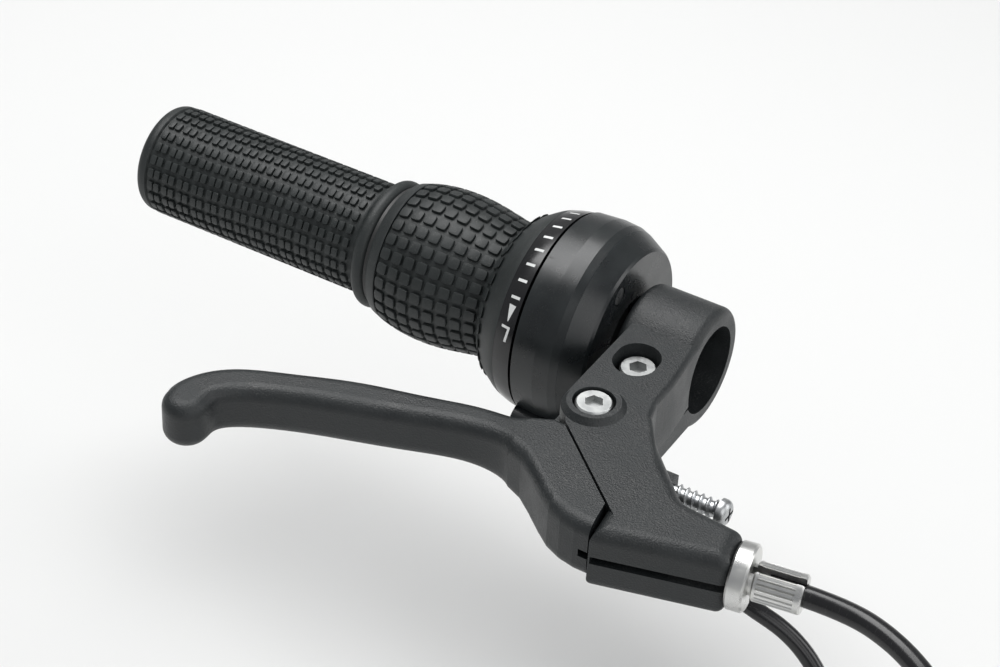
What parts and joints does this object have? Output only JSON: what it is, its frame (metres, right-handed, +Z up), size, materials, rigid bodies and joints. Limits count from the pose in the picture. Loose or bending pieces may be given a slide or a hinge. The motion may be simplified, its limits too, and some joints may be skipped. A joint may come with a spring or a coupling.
{
  "type": "bicycle handlebar control",
  "caption": "Right-hand bar control with a rubber grip, a click-stop twist shifter and a brake lever with its adjuster and cable outers.",
  "frame": {"origin": "centre of the bracket's bar clamp, on the handlebar's axis", "axes": "+X along the handlebar towards the grip's outer end, +Y forward to the brake lever, +Z up along the lever's pivot"},
  "size_m": [0.2747, 0.1693, 0.117],
  "materials": {
    "grip_rubber": "matte moulded rubber",
    "ring_gloss": "gloss black",
    "nylon_core": "plain nylon",
    "housing_black": "satin gloss black",
    "bracket_black": "grained glass-filled nylon",
    "lever_black": "fine-grained glass-filled nylon",
    "zinc_steel": "bright zinc",
    "spring_steel": "plain",
    "bright_aluminium": "bright turned",
    "outer_black": "gloss black extruded cover",
    "wire_steel": "drawn strand",
    "bush_nylon": "natural nylon"
  },
  "bodies": {
    "root": {"fixed_grip": "grip_rubber", "grip_washer": "nylon_core", "shift_wire_run": "wire_steel", "shifter_housing": "housing_black", "housing_cap": "housing_black", "cap_screws": "zinc_steel", "grub_screw": "zinc_steel", "detent_spring": "spring_steel", "cable_guide": "bush_nylon", "shift_ferrule": "outer_black", "shift_outer": "outer_black", "shift_coil": "outer_black", "shift_end_ferrule": "bright_aluminium", "lever_bracket": "bracket_black", "clamp_bolt": "zinc_steel", "clamp_nut": "zinc_steel", "pivot_bolt": "zinc_steel", "pivot_nut": "zinc_steel", "pivot_bush": "bush_nylon", "return_spring": "spring_steel"},
    "twist": {"twist_sleeve": "nylon_core", "twist_rubber": "grip_rubber", "indicator_ring": "ring_gloss", "shift_nipple": "zinc_steel", "shift_wire_wrap": "wire_steel"},
    "lever": {"lever_blade": "lever_black"},
    "anchor": {"cable_anchor": "bright_aluminium"},
    "wire": {"brake_wire": "wire_steel"},
    "cable": {"brake_outer": "outer_black", "brake_coil": "outer_black", "brake_end_ferrule": "bright_aluminium"},
    "barrel": {"barrel_adjuster": "bright_aluminium"},
    "locknut": {"lock_ring": "bright_aluminium"},
    "reach": {"reach_screw": "zinc_steel"}
  },
  "joints": [
    {"name": "twist_turn", "type": "hinge", "parent": "root", "child": "twist", "pos_m": [0.03, 0, 0], "axis": [1, 0, 0], "range_deg": [-39, 29.25], "deforming": ["detent_spring", "shift_wire_wrap"]},
    {"name": "lever_pull", "type": "hinge", "parent": "root", "child": "lever", "pos_m": [0, 0.041, 0.00425], "axis": [0, 0, -1], "range_deg": [0, 20], "stiffness_Nm_per_rad": 0.25, "springref_deg": -17.19, "deforming": ["return_spring"]},
    {"name": "anchor_turn", "type": "hinge", "parent": "lever", "child": "anchor", "pos_m": [-0.01006, 0.07022, 0.00425], "axis": [0, 0, 1], "range_deg": [0, 20]},
    {"name": "wire_draw", "type": "slide", "parent": "root", "child": "wire", "axis": [0.9877, 0.1564, 0], "range_m": [0, 0.0108]},
    {"name": "adjuster_out", "type": "slide", "parent": "root", "child": "cable", "axis": [-0.9877, -0.1564, 0], "range_m": [0, 0.004]},
    {"name": "barrel_turn", "type": "hinge", "parent": "cable", "child": "barrel", "pos_m": [-0.048, 0.0644, 0.00425], "axis": [-0.9877, -0.1564, 0], "range_deg": [0, 1441]},
    {"name": "locknut_turn", "type": "hinge", "parent": "root", "child": "locknut", "pos_m": [-0.048, 0.0644, 0.00425], "axis": [-0.9877, -0.1564, 0], "range_deg": [-180, 180]},
    {"name": "reach_slide", "type": "slide", "parent": "root", "child": "reach", "axis": [-1, 0, 0], "range_m": [0, 0.005]}
  ],
  "couplings": [
    {"joint": "anchor_turn", "follows": "lever_pull", "ratio": 1},
    {"joint": "wire_draw", "follows": "lever_pull", "m_per_rad": 0.030743},
    {"joint": "barrel_turn", "follows": "adjuster_out", "rad_per_m": 6283.2}
  ]
}
